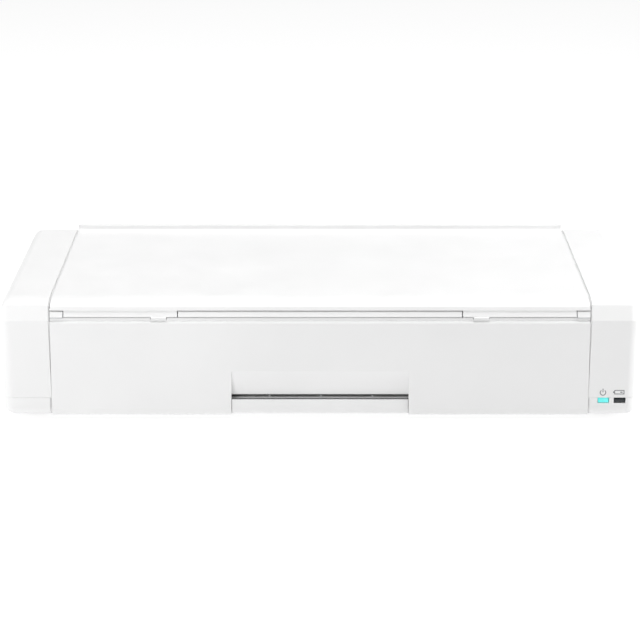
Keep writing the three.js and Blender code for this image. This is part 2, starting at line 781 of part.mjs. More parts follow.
function carriageBody() {
  const { x0, x1, y0, y1, z0 } = CARRIAGE;
  const tub = block(x0, x1, y0, y1, z0, 40);
  const back = block(x0, x1, POCKET.y1 + 0.5, y1, 39, 47.6);
  const hook = join(block(x0 + 5, x1 - 5, 5, 17, 46.3, 47.6), block(x0 + 5, x1 - 5, 15.5, 17, 41, 47.6));
  const head = block(x0 + 7, x1 - 7, -22, -6, 22.6, z0 + 1);
  const pocket = block(POCKET.x0, POCKET.x1, POCKET.y0, POCKET.y1, POCKET.z0, 60);
  return cut(join(tub, back, hook, head), pocket);
}

// A tank with a bevelled grip at its front upper edge.
function cartridge(x0, x1) {
  const y0 = POCKET.y0 + GAP;
  const y1 = POCKET.y1 - GAP;
  const outline = [
    [y0, POCKET.z0 + GAP],
    [y1, POCKET.z0 + GAP],
    [y1, 46],
    [y0 + 8, 46.5],
    [y0 + 4, 43],
    [y0, 42],
  ];
  return profile(outline, x0, x1);
}

function beltLoop(radius) {
  const loop = new THREE.Shape();
  loop.moveTo(BELT.left, -radius);
  loop.lineTo(BELT.right, -radius);
  loop.absarc(BELT.right, 0, radius, -Math.PI / 2, Math.PI / 2);
  loop.lineTo(BELT.left, radius);
  loop.absarc(BELT.left, 0, radius, Math.PI / 2, Math.PI * 1.5);
  const band = new THREE.ExtrudeGeometry(loop, {
    depth: BELT.y1 - BELT.y0,
    bevelEnabled: false,
    curveSegments: 10,
  });
  band.rotateX(Math.PI / 2);
  band.translate(0, BELT.y1, BELT.z);
  return toSolid(band);
}

const timingBelt = () => cut(beltLoop(BELT.radius + 0.9), beltLoop(BELT.radius));

function pulley(x, bore) {
  return cut(
    rodY(BELT.y0 + 0.1, BELT.y1 - 0.1, x, BELT.z, BELT.radius - GAP, 20),
    rodY(BELT.y0 - 1, BELT.y1 + 1, x, BELT.z, bore, 12),
  );
}

function carriageMotor() {
  const face = RAIL.y1 + GAP;
  return join(
    rodY(face, face + 22, BELT.left, BELT.z, 9, 24),
    rodY(BELT.y0, face + 1, BELT.left, BELT.z, 1, 10),
  );
}

function capStation() {
  const base = block(105, 146, -30, 2, 7, 17);
  const cup = block(109, 142, -24, -4, 16, 22.2);
  const hollow = block(111, 140, -22, -6, 20, 23);
  const wiper = block(105.5, 106.7, -24, -4, 16, 22);
  return cut(join(base, cup, wiper), hollow);
}

// Ink waste, electronics ------------------------------------------------------------------

const SCREW = { x: 111.5, z: 11.5 };

function maintenanceCover() {
  const { x0, x1, z0, z1 } = MAINTENANCE;
  const plate = block(x0, x1, 75.3, 77.2, z0, z1);
  return cut(plate, rodY(76.2, 78, SCREW.x, SCREW.z, 3.2), rodY(74, 78, SCREW.x, SCREW.z, 1.5, 12));
}

function maintenanceScrew() {
  const head = rodY(76.5, 77.4, SCREW.x, SCREW.z, 2.7);
  const shank = rodY(70.5, 76.7, SCREW.x, SCREW.z, 1.2, 12);
  const slot = block(SCREW.x - 2, SCREW.x + 2, 77, 78, SCREW.z - 0.35, SCREW.z + 0.35);
  const cross = block(SCREW.x - 0.35, SCREW.x + 0.35, 77, 78, SCREW.z - 2, SCREW.z + 2);
  return cut(join(head, shank), slot, cross);
}

function mainBoard() {
  const plate = join(block(-134, 95, -66, -40, 6, 7.6), block(-141, -133, -72, -49.5, 6, 7.6));
  const jack = cut(
    block(-150.3, -139, JACK.y - 4.6, JACK.y + 4.6, 4.6, 10.7),
    rodX(-151, -141, JACK.y, JACK.z, JACK.radius),
  );
  const jackPin = rodX(-149, -140, JACK.y, JACK.z, 0.8, 10);
  const usb = cut(
    block(-150.3, -139, USB.y0 - 0.8, USB.y1 + 0.8, 6, 10),
    block(-151, -142, USB.y0, USB.y1, USB.z0, USB.z1),
  );
  const chips = [
    [-100, -58, 14, 14],
    [-60, -60, 18, 12],
    [-10, -56, 10, 10],
    [50, -60, 22, 14],
  ].map(([x, y, w, d]) => block(x, x + w, y, y + d, 7, 9));
  return join(plate, jack, jackPin, usb, ...chips);
}

// Assembly ------------------------------------------------------------------------------------

add("lower_case", lowerCase(), materials.white);
add("left_side_cover", sideCover(-1), materials.white);
add("right_side_cover", sideCover(1), materials.white);
add("rear_cover", rearCover(), materials.white);
add("front_cover", frontCover(), materials.white);
footCorners().forEach(([x, y]) => {
  const name = `rubber_foot_${y < 0 ? "front" : "rear"}_${x < 0 ? "left" : "right"}`;
  add(name, rodZ(0, FOOT.top, x, y, FOOT.radius, 16), materials.rubber);
});

const lid = new THREE.Group();
printer.add(lid);
add("lid_shell", lidShell(), materials.white, lid);
add("lid_liner", lidLiner(), materials.inner, lid);
add("support_extension", supportExtension(), materials.white, lid);
for (const [name, side] of [["left", -1], ["right", 1]]) {
  const pin = rodX(...span(side, 124.6, 133.6), LID_AXIS.y, LID_AXIS.z, LID_PIN_RADIUS, 16);
  add(`lid_hinge_pin_${name}`, pin, materials.steel);
}

const deck = new THREE.Group();
printer.add(deck);
add("control_deck", controlDeck(), materials.inner, deck);
add("cartridge_cover", inkDoor(), materials.inner, deck);
const { x0, x1, y0, y1 } = DISPLAY;
add("display_window", block(x0, x1, y0, y1, 48.9, 49.9), materials.glass, deck);
add("display_panel", block(x0 - 2, x1 + 2, y0 - 2, y1 + 2, 44.8, 47.6), materials.black, deck);
for (const [name, x, y, radius, color] of BUTTONS) {
  const paint = new THREE.MeshStandardMaterial({ color, roughness: 0.5 });
  add(name, button(radius), paint, deck).position.set(x, y, 0);
}
const lightColours = { status: materials.light, battery: materials.dark };
for (const [name, [from, to]] of Object.entries(LIGHTS)) {
  const pipe = block(from, to, -77.4, -71, LIGHT_Z.from, LIGHT_Z.to);
  add(`${name}_light_pipe`, pipe, lightColours[name]);
}

const feeder = new THREE.Group();
printer.add(feeder);
add("feeder_chute", feederChute(), materials.inner, feeder);
add("edge_guide_left", leftGuide(), materials.dark, feeder);
add("edge_guide_right", rightGuide(), materials.dark, feeder);
add("guide_pinion", guidePinion(), materials.gear, feeder);
add("hopper_plate", hopperPlate(), materials.dark, feeder);
add("feed_roller", feedRoller(), materials.rubber, feeder);
add("separation_pad", block(-14, 6, 40.5, 48.5, 21.1, 22.6), materials.pad, feeder);

const drive = new THREE.Group();
printer.add(drive);
const mainPhase = 0;
const pinionPhase = meshedPhase(MAIN, mainPhase, PINION);
const idlerPhase = meshedPhase(MAIN, mainPhase, IDLER);
const ejectPhase = meshedPhase(IDLER, idlerPhase, EJECT);
add("main_frame", mainFrame(), materials.steel, drive);
add("platen", platen(), materials.black, drive);
add("main_roller", mainRoller(), materials.steel, drive);
add("main_gear", gearAlongX(MAIN, mainPhase, 3.3), materials.gear, drive);
add("feed_motor", feedMotor(), materials.steel, drive);
add("motor_pinion", gearAlongX(PINION, pinionPhase, 1.3), materials.gear, drive);
add("idler_gear", gearAlongX(IDLER, idlerPhase, 2.3), materials.gear, drive);
add("eject_roller", ejectRoller(ejectPhase), materials.rubber, drive);
add("pinch_roller_left", pinchRoller(PINCH_SPANS[0]), materials.rubber, drive);
add("pinch_roller_right", pinchRoller(PINCH_SPANS[1]), materials.rubber, drive);

const carriage = new THREE.Group();
printer.add(carriage);
add("carriage_body", carriageBody(), materials.black, carriage);
add("black_cartridge", cartridge(104.8, 120), materials.black, carriage);
add("colour_cartridge", cartridge(120.4, 146.2), materials.dark, carriage);
add("timing_belt", timingBelt(), materials.rubber);
add("drive_pulley", pulley(BELT.left, 1.3), materials.gear);
add("idler_pulley", pulley(BELT.right, 1.6), materials.gear);
add("carriage_motor", carriageMotor(), materials.steel);
add("encoder_strip", block(-135.5, 140.5, 13.05, 13.45, 36, 42), materials.glass);
add("cap_station", capStation(), materials.dark);

add("maintenance_box", block(35, 105, 22, 72, 4.4, 16), materials.dark);
add("maintenance_cover", maintenanceCover(), materials.white);
add("maintenance_screw", maintenanceScrew(), materials.steel);
add("main_board", mainBoard(), materials.board);
add("battery_pack", block(-108, 20, 22, 48, 4.4, 16), materials.dark);

export default printer;
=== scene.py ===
"""Looks of the portable inkjet printer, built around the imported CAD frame. Outlines are in millimetres."""

import math

import bpy
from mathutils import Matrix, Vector


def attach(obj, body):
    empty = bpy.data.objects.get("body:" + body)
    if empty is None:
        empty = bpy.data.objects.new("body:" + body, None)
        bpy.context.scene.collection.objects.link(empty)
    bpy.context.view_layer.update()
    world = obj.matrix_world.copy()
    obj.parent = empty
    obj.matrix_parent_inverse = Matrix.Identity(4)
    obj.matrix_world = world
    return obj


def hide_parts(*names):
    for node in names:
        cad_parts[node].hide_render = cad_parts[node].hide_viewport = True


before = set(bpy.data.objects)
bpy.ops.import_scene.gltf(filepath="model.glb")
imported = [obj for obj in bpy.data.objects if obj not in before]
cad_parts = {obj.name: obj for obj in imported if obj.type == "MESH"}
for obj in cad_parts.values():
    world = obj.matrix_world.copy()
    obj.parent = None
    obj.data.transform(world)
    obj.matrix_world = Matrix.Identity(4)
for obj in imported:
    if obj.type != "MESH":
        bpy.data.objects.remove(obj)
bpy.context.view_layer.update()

MM = 0.001

# Sizes shared with the CAD model, in millimetres. TOP and BASE are those of the casing alone,
# MIDDLE is half the width of the lid and the front cover, and TAB runs from X to X.
HALF_WIDTH = 154.5
HALF_DEPTH = 77.5
TOP = 58.5
BASE = 1.8
RIDGE_TOP = 61
LID_UNDER = 56.5
MIDDLE = 130.2
SIDE_FROM = 131
SIDE_BOTTOM = 11.08
SIDE_TAPER = 1.2
CORNER = 5
FRONT_ROLL = [(-63, 58.5), (-68, 58.2), (-71.3, 57.6), (-73.8, 56.7)]
CHAMFER_FOOT = (-77.5, 49.6)
BAND_TOP = (-75, 53.65)
BAND_BOTTOM = (-76.9, 50.7)
BAND_BACK = (-74.6, 52.1)
BAND_END_FROM = 124
SUPPORT_HALF = 68.4
LID_AXIS = (74.5, 55)
SCOOP_HALF = 43
SCOOP_TOP = 24.5
SCOOP_BOTTOM = 11.9
SCOOP_DEPTH = 2.9
DOOR_TOP = 49.3
DOOR_LIP = 50.85
TAB = (74, 81.4)
DECK_TOP = 50
BUTTON_TOP = 51.3
BUTTON_CENTRES = {
    "power": (-118, -60),
    "home": (-116, -34),
    "up": (-88, -35),
    "down": (-88, -57),
    "left": (-99, -46),
    "right": (-77, -46),
    "ok": (-88, -46),
    "stop": (-4, -38),
    "start": (14, -46),
}
BUTTON_GROUP = (-126, -68, -67, -26)
DISPLAY_OPENING = (-55.4, -20.6, -61.4, -34.6)
LINER_SCREWS = [(-118, -58), (118, -58), (-118, 44), (118, 44), (-80, 44), (80, 44)]
STAR_AXLE = (-40, 25.4)
STAR_SPOTS = [-104 + 24.8 * index for index in range(9)]

# How meshes are finished: a cutter's own edges, and the angle in degrees that stays sharp.
CUTTER_EDGE = 0.01
SHARP_ANGLE = 34

# Camera and studio ---------------------------------------------------------------------


def make_camera():
    """A long lens in front of the printer, a little above it."""
    data = bpy.data.cameras.new("camera")
    data.sensor_width = 36
    data.lens = 136.1
    camera = bpy.data.objects.new("camera", data)
    camera.location = (0, -1.198, 0.363)
    camera.rotation_euler = (math.radians(74.4), 0, 0)
    bpy.context.scene.collection.objects.link(camera)
    bpy.context.scene.camera = camera


def aim(thing, target):
    """Turns the object's -Z axis towards the target."""
    direction = Vector(target) - thing.location
    thing.rotation_euler = direction.to_track_quat("-Z", "Y").to_euler()


def soft_light(name, place, size, power):
    """A rectangular light aimed at the middle of the printer."""
    data = bpy.data.lights.new(name, "AREA")
    data.shape = "RECTANGLE"
    data.size, data.size_y = size
    data.energy = power
    light = bpy.data.objects.new(name, data)
    light.location = place
    bpy.context.scene.collection.objects.link(light)
    aim(light, (0, 0, 0.03))


def make_world(horizon, overhead):
    """A sky that is bright near the horizon and dimmer overhead."""
    world = bpy.data.worlds.new("studio")
    bpy.context.scene.world = world
    world.use_nodes = True
    tree = world.node_tree
    coordinates = tree.nodes.new("ShaderNodeTexCoord")
    split = tree.nodes.new("ShaderNodeSeparateXYZ")
    ramp = tree.nodes.new("ShaderNodeMapRange")
    ramp.inputs["From Min"].default_value = 0.25
    ramp.inputs["From Max"].default_value = 0.5
    ramp.inputs["To Min"].default_value = horizon
    ramp.inputs["To Max"].default_value = overhead
    tree.links.new(coordinates.outputs["Generated"], split.inputs[0])
    tree.links.new(split.outputs["Z"], ramp.inputs["Value"])
    tree.links.new(ramp.outputs["Result"], tree.nodes["Background"].inputs["Strength"])
    tree.nodes["Background"].inputs["Color"].default_value = (1, 1, 1, 1)


def make_floor(grey, glow):
    """A wide pale floor with a little light of its own."""
    half = 12
    mesh = bpy.data.meshes.new("floor")
    corners = [(-half, -half, 0), (half, -half, 0), (half, half, 0), (-half, half, 0)]
    mesh.from_pydata(corners, [], [(0, 1, 2, 3)])
    floor = bpy.data.objects.new("floor", mesh)
    bpy.context.scene.collection.objects.link(floor)
    _, shader = new_material("studio_floor")
    shader.inputs["Base Color"].default_value = (grey, grey, grey, 1)
    shader.inputs["Roughness"].default_value = 0.9
    shader.inputs["Emission Color"].default_value = (1, 1, 1, 1)
    shader.inputs["Emission Strength"].default_value = glow
    mesh.materials.append(bpy.data.materials["studio_floor_look"])


# Materials -----------------------------------------------------------------------------


def new_material(name):
    """A material whose name can't be one that the frame already uses."""
    material = bpy.data.materials.new(f"{name}_look")
    material.use_nodes = True
    return material.node_tree, material.node_tree.nodes["Principled BSDF"]


def node(tree, kind, values=None, links=None, **settings):
    """A node with the given settings, input values and input links."""
    made = tree.nodes.new(kind)
    for key, value in settings.items():
        setattr(made, key, value)
    for key, value in (values or {}).items():
        made.inputs[key].default_value = value
    for key, socket in (links or {}).items():
        tree.links.new(socket, made.inputs[key])
    return made


def object_place(tree, stretch=(1, 1, 1)):
    """Coordinates in metres on the object, stretched along each axis."""
    place = node(tree, "ShaderNodeTexCoord").outputs["Object"]
    return node(tree, "ShaderNodeMapping", {"Scale": stretch}, {"Vector": place}).outputs[0]


def noise(tree, place, size, detail=2.0, roughness=0.5):
    """Noise whose features are about size millimetres across."""
    values = {"Scale": 1 / (size * MM), "Detail": detail, "Roughness": roughness}
    return node(tree, "ShaderNodeTexNoise", values, {"Vector": place}).outputs["Fac"]


def spread(tree, factor, low, high, start=0.3, end=0.7):
    """Maps the factor's start to end onto low to high."""
    values = {"From Min": start, "From Max": end, "To Min": low, "To Max": high}
    return node(tree, "ShaderNodeMapRange", values, {"Value": factor}).outputs[0]


def mixed(tree, factor, first, second):
    """A colour between two colours; each is a tuple or a socket."""
    mix = node(tree, "ShaderNodeMix", data_type="RGBA")
    tree.links.new(factor, mix.inputs[0])
    for index, colour in ((6, first), (7, second)):
        if isinstance(colour, tuple):
            mix.inputs[index].default_value = (*colour, 1)
        else:
            tree.links.new(colour, mix.inputs[index])
    return mix.outputs[2]


def maths(tree, operation, first, second=0.0):
    made = node(tree, "ShaderNodeMath", operation=operation)
    for index, value in enumerate((first, second)):
        if isinstance(value, (int, float)):
            made.inputs[index].default_value = value
        else:
            tree.links.new(value, made.inputs[index])
    return made.outputs[0]


def relief(tree, shader, height, depth):
    """Bumps the surface by depth millimetres."""
    values = {"Strength": 1.0, "Distance": depth * MM}
    bump = node(tree, "ShaderNodeBump", values, {"Height": height})
    tree.links.new(bump.outputs[0], shader.inputs["Normal"])


def shaded(colour, amount):
    """The colour made darker or lighter."""
    return tuple(channel * amount for channel in colour)


def plastic(name, colour, roughness, grain=0.35, depth=0.012, mottle=0.015):
    """Moulded plastic: a fine spark-eroded texture, slow colour drift and uneven gloss."""
    tree, shader = new_material(name)
    place = object_place(tree)
    drift = spread(tree, noise(tree, place, 45), 0.0, 1.0)
    tint = mixed(tree, drift, shaded(colour, 1 - mottle), shaded(colour, 1 + mottle))
    tree.links.new(tint, shader.inputs["Base Color"])
    patches = noise(tree, place, 9, detail=3)
    tree.links.new(
        spread(tree, patches, roughness - 0.05, roughness + 0.05), shader.inputs["Roughness"]
    )
    fine = noise(tree, place, grain, detail=3, roughness=0.6)
    wave = noise(tree, place, 14, detail=1)
    height = maths(tree, "ADD", fine, maths(tree, "MULTIPLY", wave, 1.5))
    relief(tree, shader, height, depth)
    return bpy.data.materials[f"{name}_look"]


def rubber(name, colour):
    """Matt rubber with a fine grain and a little dust."""
    tree, shader = new_material(name)
    place = object_place(tree)
    dust = spread(tree, noise(tree, place, 6, detail=5), 0.0, 1.0, 0.45, 0.75)
    tree.links.new(mixed(tree, dust, colour, shaded(colour, 2.2)), shader.inputs["Base Color"])
    tree.links.new(spread(tree, noise(tree, place, 2), 0.72, 0.92), shader.inputs["Roughness"])
    shader.inputs["Specular IOR Level"].default_value = 0.35
    relief(tree, shader, noise(tree, place, 0.5, detail=4), 0.05)
    return bpy.data.materials[f"{name}_look"]


def steel(name, stretch, colour=(0.6, 0.61, 0.63), roughness=0.32):
    """Rolled or ground steel, with marks drawn out along the axis that stretch shrinks."""
    tree, shader = new_material(name)
    shader.inputs["Metallic"].default_value = 1.0
    lines = noise(tree, object_place(tree, stretch), 0.35, detail=4)
    haze = noise(tree, object_place(tree), 12, detail=3)
    tint = mixed(tree, spread(tree, haze, 0.0, 1.0), shaded(colour, 0.9), shaded(colour, 1.08))
    tree.links.new(tint, shader.inputs["Base Color"])
    streaks = spread(tree, lines, roughness - 0.1, roughness + 0.12)
    tree.links.new(streaks, shader.inputs["Roughness"])
    relief(tree, shader, lines, 0.008)
    return bpy.data.materials[f"{name}_look"]


def glass(name, colour):
    """A dark polished window with faint wipe marks."""
    tree, shader = new_material(name)
    place = object_place(tree, (1, 3, 1))
    smear = noise(tree, place, 8, detail=4)
    tree.links.new(spread(tree, smear, 0.04, 0.14), shader.inputs["Roughness"])
    tree.links.new(mixed(tree, smear, colour, shaded(colour, 1.3)), shader.inputs["Base Color"])
    shader.inputs["Coat Weight"].default_value = 0.6
    shader.inputs["Coat Roughness"].default_value = 0.05
    return bpy.data.materials[f"{name}_look"]


def light_pipe(name, colour, glow):
    """A moulded light pipe, lit from behind most strongly along its middle."""
    tree, shader = new_material(name)
    place = object_place(tree)
    cloud = spread(tree, noise(tree, place, 2.5), 0.8, 1.15)
    tree.links.new(mixed(tree, cloud, shaded(colour, 0.7), colour), shader.inputs["Base Color"])
    shader.inputs["Roughness"].default_value = 0.2
    shader.inputs["Emission Color"].default_value = (*colour, 1)
    if glow:
        tree.links.new(maths(tree, "MULTIPLY", cloud, glow), shader.inputs["Emission Strength"])
    relief(tree, shader, noise(tree, place, 0.8), 0.01)
    return bpy.data.materials[f"{name}_look"]


def cork_pad(name, colour):
    """Pressed cork, made of small cells."""
    tree, shader = new_material(name)
    place = object_place(tree)
    values = {"Scale": 1 / (0.9 * MM)}
    cells = node(tree, "ShaderNodeTexVoronoi", values, {"Vector": place})
    grain = mixed(tree, cells.outputs["Distance"], shaded(colour, 0.6), shaded(colour, 1.4))
    tree.links.new(grain, shader.inputs["Base Color"])
    tree.links.new(
        spread(tree, noise(tree, place, 1.5), 0.85, 0.98), shader.inputs["Roughness"]
    )
    relief(tree, shader, cells.outputs["Distance"], 0.15)
    return bpy.data.materials[f"{name}_look"]


def film(name, colour):
    """Clear film printed with fine upright lines."""
    tree, shader = new_material(name)
    wave = node(
        tree,
        "ShaderNodeTexWave",
        {"Scale": 1 / (2.2 * MM), "Distortion": 0.0},
        {"Vector": object_place(tree)},
        bands_direction="X",
    )
    lines = spread(tree, wave.outputs["Fac"], 0.0, 1.0, 0.4, 0.6)
    tree.links.new(mixed(tree, lines, shaded(colour, 0.2), colour), shader.inputs["Base Color"])
    shader.inputs["Roughness"].default_value = 0.15
    shader.inputs["Alpha"].default_value = 0.75
    relief(tree, shader, lines, 0.002)
    return bpy.data.materials[f"{name}_look"]


def circuit_board(name, colour):
    """Solder mask over copper tracks, with dark parts standing above the board."""
    tree, shader = new_material(name)
    place = object_place(tree)
    values = {"Scale": 1 / (9 * MM), "Mortar Size": 0.035, "Brick Width": 0.7, "Row Height": 0.2}
    tracks = node(tree, "ShaderNodeTexBrick", values, {"Vector": place}).outputs["Fac"]
    bright = mixed(tree, tracks, colour, shaded(colour, 2.4))
    split = node(tree, "ShaderNodeSeparateXYZ", links={"Vector": place})
    board_top, socket_side = 7.7 * MM, -136 * MM
    above = maths(tree, "GREATER_THAN", split.outputs["Z"], board_top)
    sockets = maths(tree, "LESS_THAN", split.outputs["X"], socket_side)
    dark = maths(tree, "MAXIMUM", above, sockets)
    tree.links.new(mixed(tree, dark, bright, (0.02, 0.02, 0.022)), shader.inputs["Base Color"])
    tree.links.new(spread(tree, noise(tree, place, 3), 0.25, 0.45), shader.inputs["Roughness"])
    relief(tree, shader, tracks, 0.05)
    return bpy.data.materials[f"{name}_look"]


WHITE = (0.83, 0.83, 0.83)
SLOTS = {
    "white_shell": plastic("white_plastic", WHITE, 0.4),
    "grey_plastic": plastic("grey_plastic", (0.5, 0.51, 0.52), 0.5, grain=0.5, depth=0.03),
    "dark_plastic": plastic("dark_plastic", (0.075, 0.08, 0.085), 0.5, grain=0.5, depth=0.03),
    "black_plastic": plastic("black_plastic", (0.02, 0.021, 0.023), 0.45, grain=0.5, depth=0.03),
    "steel": steel("plate_steel", (0.03, 1, 1)),
    "rubber": rubber("black_rubber", (0.022, 0.022, 0.024)),
    "gear_plastic": plastic("gear_plastic", (0.76, 0.74, 0.67), 0.4),
    "display_glass": glass("display_glass", (0.01, 0.012, 0.015)),
    "red_plastic": plastic("red_plastic", (0.45, 0.09, 0.05), 0.4),
    "green_plastic": plastic("green_plastic", (0.08, 0.28, 0.12), 0.4),
    "lit_light_pipe": light_pipe("lit_light_pipe", (0.12, 0.62, 0.6), 0.55),
    "dark_light_pipe": light_pipe("dark_light_pipe", (0.018, 0.022, 0.026), 0),
    "friction_pad": cork_pad("friction_pad", (0.3, 0.15, 0.08)),
    "clear_film": film("clear_film", (0.5, 0.5, 0.5)),
    "circuit_board": circuit_board("circuit_board", (0.02, 0.13, 0.07)),
}

PRINT = plastic("printed_mark", (0.2, 0.21, 0.22), 0.6, grain=0.2, depth=0.004)
PALE_PRINT = plastic("pale_mark", (0.8, 0.81, 0.82), 0.6, grain=0.2, depth=0.004)

# Outlines and meshes -------------------------------------------------------------------


def inset(outline, distance):
    """An anticlockwise outline moved inwards."""
    moved = []
    for index, point in enumerate(outline):
        before = Vector(outline[index - 1])
        here = Vector(point)
        after = Vector(outline[(index + 1) % len(outline)])
        first = (here - before).normalized()
        second = (after - here).normalized()
        inwards = Vector((-first.y - second.y, first.x + second.x))
        moved.append(tuple(here + inwards * distance / (1 + first.dot(second))))
    return moved


def rounded(outline, radii, steps=5):
    """The outline with its corners rounded; radii holds one number for each corner."""
    points = []
    for index, (point, radius) in enumerate(zip(outline, radii)):
        here = Vector(point)
        if radius == 0:
            points.append(tuple(here))
            continue
        before = Vector(outline[index - 1]) - here
        after = Vector(outline[(index + 1) % len(outline)]) - here
        reach = radius / math.tan(before.angle(after) / 2)
        reach = min(reach, 0.49 * before.length, 0.49 * after.length)
        start = here + before.normalized() * reach
        end = here + after.normalized() * reach
        for step in range(steps + 1):
            t = step / steps
            curve = start * (1 - t) ** 2 + here * 2 * t * (1 - t) + end * t**2
            points.append(tuple(curve))
    return points


def loft(rings):
    """Vertices and faces of a closed solid through rings of points."""
    count = len(rings[0])
    vertices = [point for ring in rings for point in ring]
    faces = []
    for ring in range(len(rings) - 1):
        low = ring * count
        for index in range(count):
            after = (index + 1) % count
            faces.append((low + index, low + after, low + count + after, low + count + index))
    faces.append(tuple(reversed(range(count))))
    faces.append(tuple(range(len(vertices) - count, len(vertices))))
    return vertices, faces


def eased(width, steps=3):
    """Pairs of how far along and how far in, for an edge rounded to the given width."""
    turns = [step / steps * math.pi / 2 for step in range(steps + 1)]
    return [(width * (1 - math.cos(turn)), width * (1 - math.sin(turn))) for turn in turns]


def drawn_in(outline, radii, inward):
    """The outline moved inwards and then rounded, so that its corners never cross over."""
    moved = inset(outline, inward)
    if radii is None:
        return moved
    if isinstance(radii, (int, float)):
        radii = [radii] * len(outline)
    return rounded(moved, [max(radius - inward, 0.3 * radius) for radius in radii], 4)


def stations(low, high, low_edge, high_edge):
    """Places from low to high, each with how far the outline is drawn in there."""
    places = [(low + along, inward) for along, inward in low_edge]
    places += [(high - along, inward) for along, inward in reversed(high_edge)]
    return places


def bar_x(outline, x0, x1, edge=0.25, radii=None):
    """An outline of (y, z) points carried along X, its two end edges rounded."""
    places = stations(x0, x1, eased(edge), eased(edge))
    return loft([[(x, y, z) for y, z in drawn_in(outline, radii, inward)] for x, inward in places])


def plate_z(outline, z0, z1, edge=0.25, radii=None):
    """An outline of (x, y) points carried along Z, its two end edges rounded."""
    places = stations(z0, z1, eased(edge), eased(edge))
    return loft([[(x, y, z) for x, y in drawn_in(outline, radii, inward)] for z, inward in places])


def plate_y(outline, y0, y1, edge):
    """An outline of (x, z) points carried along Y, its two end edges rounded."""
    places = stations(y0, y1, eased(edge), eased(edge))
    return loft([[(x, y, z) for x, z in inset(outline, inward)] for y, inward in places])


def box(x0, x1, y0, y1, z0, z1, edge=0.2):
    """A box with its end edges rounded."""
    return bar_x([(y0, z0), (y1, z0), (y1, z1), (y0, z1)], x0, x1, edge)


def circle(x, y, radius, sides=32):
    """Points round a circle."""
    turns = [2 * math.pi * index / sides for index in range(sides)]
    return [(x + radius * math.cos(turn), y + radius * math.sin(turn)) for turn in turns]


def mirrored(part):
    """The part moved to the other side of the printer's middle."""
    vertices, faces = part
    return [(-x, y, z) for x, y, z in vertices], [tuple(reversed(face)) for face in faces]


def both_sides(part):
    return [part, mirrored(part)]


def whole(parts):
    """One vertex and face list from several."""
    vertices, faces = [], []
    for more_vertices, more_faces in parts:
        start = len(vertices)
        vertices += more_vertices
        faces += [tuple(start + index for index in face) for face in more_faces]
    return vertices, faces


def make_object(name, part):
    vertices, faces = part
    mesh = bpy.data.meshes.new(name)
    mesh.from_pydata([tuple(value * MM for value in point) for point in vertices], [], faces)
    mesh.validate()
    made = bpy.data.objects.new(name, mesh)
    bpy.context.scene.collection.objects.link(made)
    return made


def settle(thing):
    """Replaces the object's mesh by the one its modifiers make."""
    graph = bpy.context.evaluated_depsgraph_get()
    mesh = bpy.data.meshes.new_from_object(thing.evaluated_get(graph))
    thing.modifiers.clear()
    thing.data = mesh


def carve(thing, parts):
    """Takes solids out of the object."""
    cutters = [make_object("cutter", part) for part in parts]
    for cutter in cutters:
        cut = thing.modifiers.new("cut", "BOOLEAN")
        cut.operation = "DIFFERENCE"
        cut.solver = "EXACT"
        cut.use_self = True
        cut.object = cutter
    settle(thing)
    for cutter in cutters:
        bpy.data.objects.remove(cutter)


def join(thing, *parts):
    """Adds loose parts to the object's mesh."""
    vertices, faces = whole(parts)
    mesh = thing.data
    kept = [tuple(value / MM for value in vertex.co) for vertex in mesh.vertices]
    kept_faces = [tuple(polygon.vertices) for polygon in mesh.polygons]
    made = whole([(kept, kept_faces), (vertices, faces)])
    mesh.clear_geometry()
    mesh.from_pydata([tuple(value * MM for value in point) for point in made[0]], [], made[1])
    mesh.validate()
    mesh.update()


def piece(thing, body, slot, replaces=(), material=None, sharp=35):
    """Gives the object its finish and ties it to a body of the frame."""
    thing.data.materials.clear()
    thing.data.materials.append(material or SLOTS[slot])
    thing.data.shade_smooth()
    thing.data.set_sharp_from_angle(angle=math.radians(sharp))
    thing.modifiers.new("normals", "WEIGHTED_NORMAL").keep_sharp = True
    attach(thing, body)
    if replaces:
        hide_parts(*replaces)
    return thing


def smoothing_group(name, limit):
    """Geometry nodes that shade smooth, with sharp edges where faces meet at a steep angle."""
    group = bpy.data.node_groups.new(name, "GeometryNodeTree")
    group.interface.new_socket("Geometry", in_out="INPUT", socket_type="NodeSocketGeometry")
    group.interface.new_socket("Geometry", in_out="OUTPUT", socket_type="NodeSocketGeometry")
    start = group.nodes.new("NodeGroupInput")
    end = group.nodes.new("NodeGroupOutput")
    faces = group.nodes.new("GeometryNodeSetShadeSmooth")
    edges = group.nodes.new("GeometryNodeSetShadeSmooth")
    edges.domain = "EDGE"
    edges.inputs["Shade Smooth"].default_value = False
    angle = group.nodes.new("GeometryNodeInputMeshEdgeAngle")
    steep = group.nodes.new("FunctionNodeCompare")
    steep.operation = "GREATER_THAN"
    steep.inputs[1].default_value = math.radians(limit)
    group.links.new(start.outputs[0], faces.inputs["Geometry"])
    group.links.new(faces.outputs[0], edges.inputs["Geometry"])
    group.links.new(angle.outputs["Unsigned Angle"], steep.inputs[0])
    group.links.new(steep.outputs[0], edges.inputs["Selection"])
    group.links.new(edges.outputs[0], end.inputs[0])
    return group


smooth_shading = smoothing_group("smooth_shading", SHARP_ANGLE)


def finish_node(name, slot, width):
    """A CAD node keeps its mesh; its edges are eased and it gets its material."""
    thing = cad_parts[name]
    thing.data.materials.clear()
    thing.data.materials.append(SLOTS[slot])
    weld = thing.modifiers.new("weld", "WELD")
    weld.merge_threshold = 0.001 * MM
    bevel = thing.modifiers.new("bevel", "BEVEL")
    bevel.width = width * MM
    bevel.segments = 2
    bevel.limit_method = "ANGLE"
    bevel.angle_limit = math.radians(SHARP_ANGLE)
    thing.modifiers.new("shade", "NODES").node_group = smooth_shading


# Casing --------------------------------------------------------------------------------


